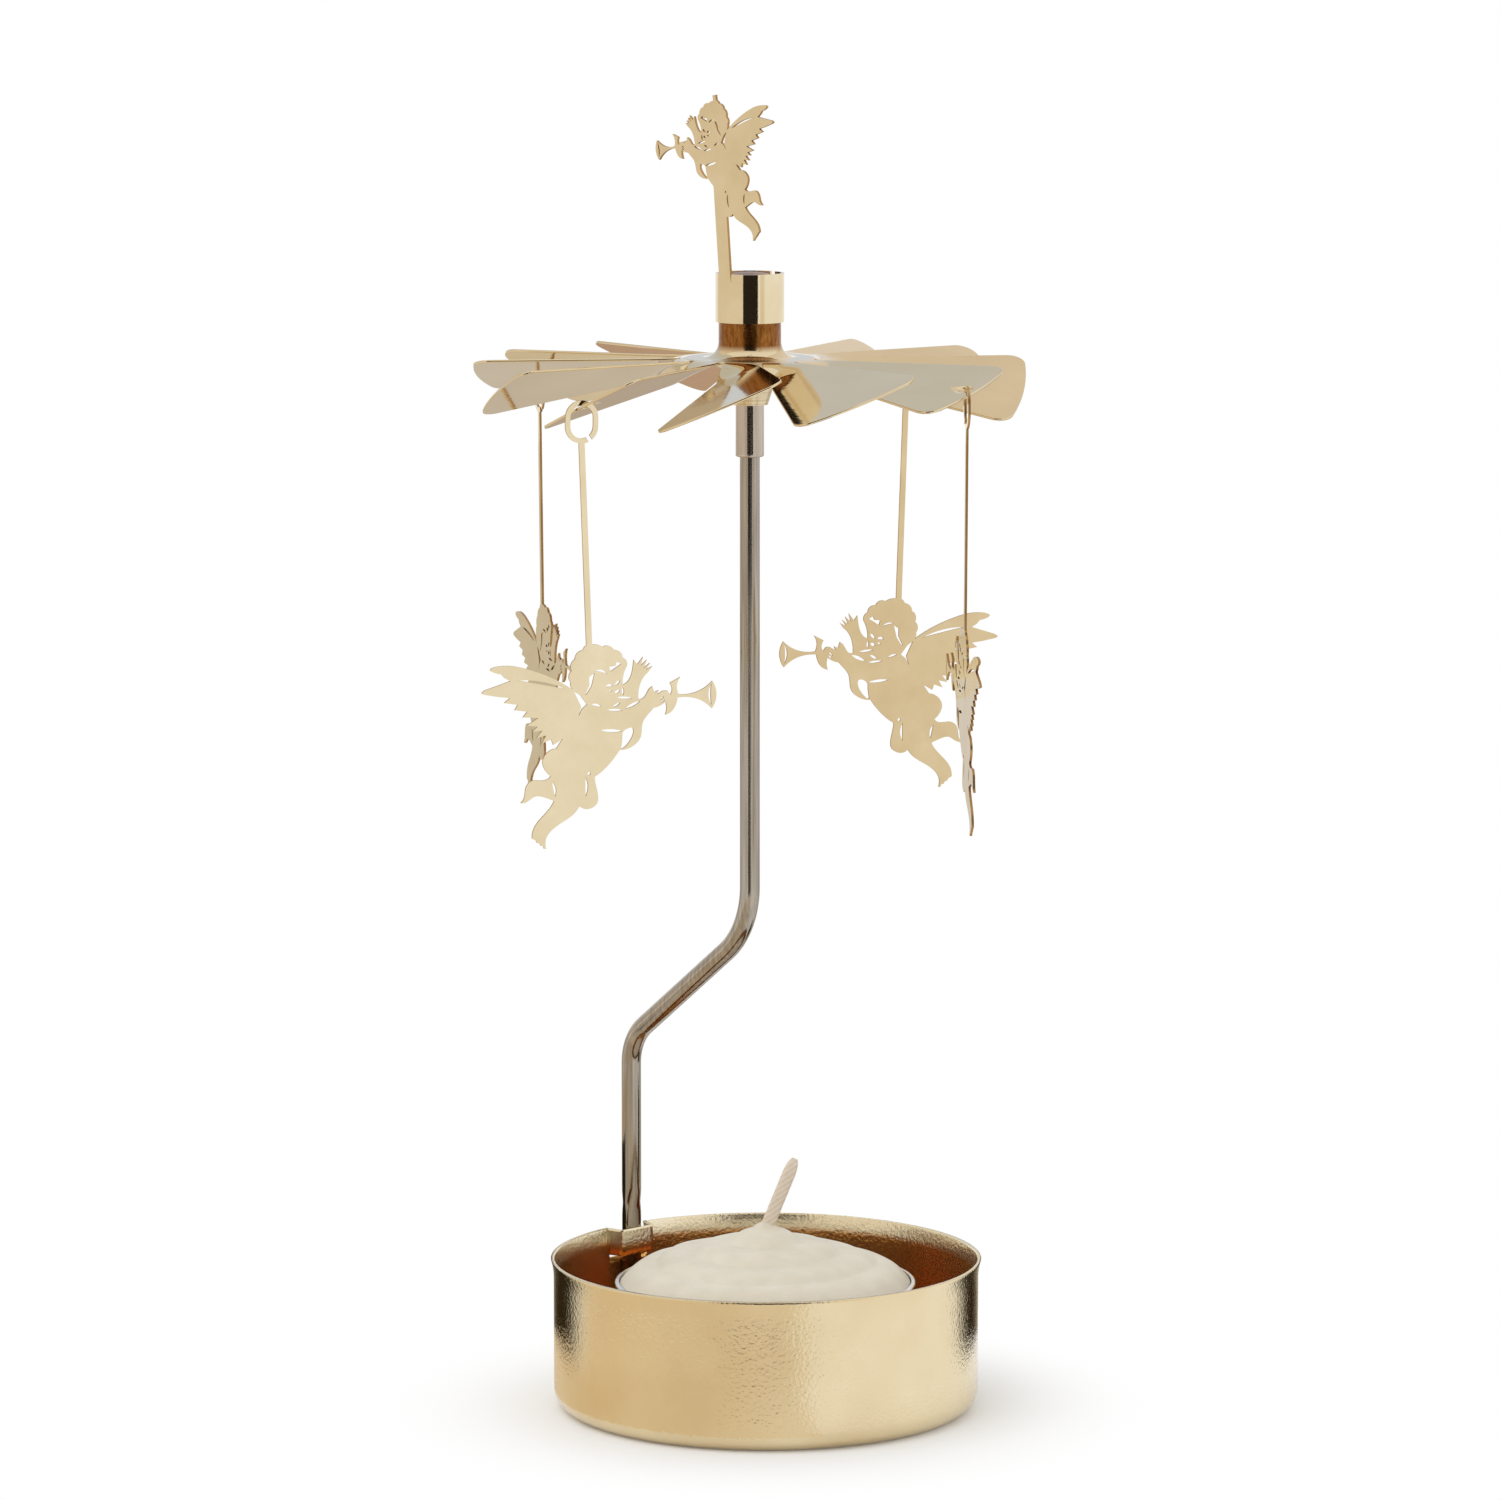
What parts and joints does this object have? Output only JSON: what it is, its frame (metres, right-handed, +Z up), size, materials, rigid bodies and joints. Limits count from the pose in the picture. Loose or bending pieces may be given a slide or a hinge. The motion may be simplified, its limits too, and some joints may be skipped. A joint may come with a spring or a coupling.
{
  "type": "rotary candle carousel",
  "caption": "Tinplate tealight dish with a cranked wire that carries a pivoting fan, hung with flat trumpeting cherubs and topped by a standing one; warm air turns it.",
  "frame": {"origin": "centre of the dish's underside", "axes": "+Z up, +X to the viewer's right, +Y away from the viewer; the wire's foot stands at the back left"},
  "size_m": [0.0685, 0.0686, 0.1649],
  "materials": {
    "gold_tinplate": "brass-plated tinplate, bright, lacquered",
    "etched_brass": "etched sheet, satin pale gold",
    "turned_brass": "turned, bright",
    "nickel_steel": "nickel-plated steel wire, drawn",
    "bearing_steel": "hardened steel, ground",
    "candle_aluminium": "thin drawn sheet",
    "paraffin_wax": "poured wax, soft gloss",
    "cotton_wick": "braided cotton dipped in wax"
  },
  "bodies": {
    "stand": {"dish": "gold_tinplate", "cranked_wire": "nickel_steel"},
    "rotor": {"fan": "gold_tinplate", "hub_bush": "turned_brass", "bearing_tube": "nickel_steel", "pivot_seat": "bearing_steel", "top_cherub": "etched_brass"},
    "tealight": {"tealight_cup": "candle_aluminium", "tealight_wax": "paraffin_wax", "wick_holder": "candle_aluminium", "wick": "cotton_wick"},
    "hanging_cherub_1": {"cherub_1": "etched_brass"},
    "hanging_cherub_2": {"cherub_2": "etched_brass"},
    "hanging_cherub_3": {"cherub_3": "etched_brass"},
    "hanging_cherub_4": {"cherub_4": "etched_brass"}
  },
  "joints": [
    {"name": "rotor_spin", "type": "hinge", "parent": "stand", "child": "rotor", "pos_m": [-0.00203, 0.00221, 0.1335], "axis": [0, 0, 1], "continuous": true},
    {"name": "tealight_lift", "type": "slide", "parent": "stand", "child": "tealight", "axis": [0, 0, 1], "range_m": [0, 0.02]},
    {"name": "cherub_1_swing", "type": "hinge", "parent": "rotor", "child": "hanging_cherub_1", "pos_m": [0.02429, -0.01877, 0.12851], "axis": [0.994, 0.1097, 0], "range_deg": [-25, 25]},
    {"name": "cherub_2_swing", "type": "hinge", "parent": "rotor", "child": "hanging_cherub_2", "pos_m": [0.01789, 0.02895, 0.12675], "axis": [-0.2974, 0.9548, 0], "range_deg": [-25, 25]},
    {"name": "cherub_3_swing", "type": "hinge", "parent": "rotor", "child": "hanging_cherub_3", "pos_m": [-0.02875, 0.02221, 0.12689], "axis": [-0.9548, -0.2974, 0], "range_deg": [-25, 25]},
    {"name": "cherub_4_swing", "type": "hinge", "parent": "rotor", "child": "hanging_cherub_4", "pos_m": [-0.02228, -0.02444, 0.12729], "axis": [0.2974, -0.9548, 0], "range_deg": [-25, 25]}
  ]
}
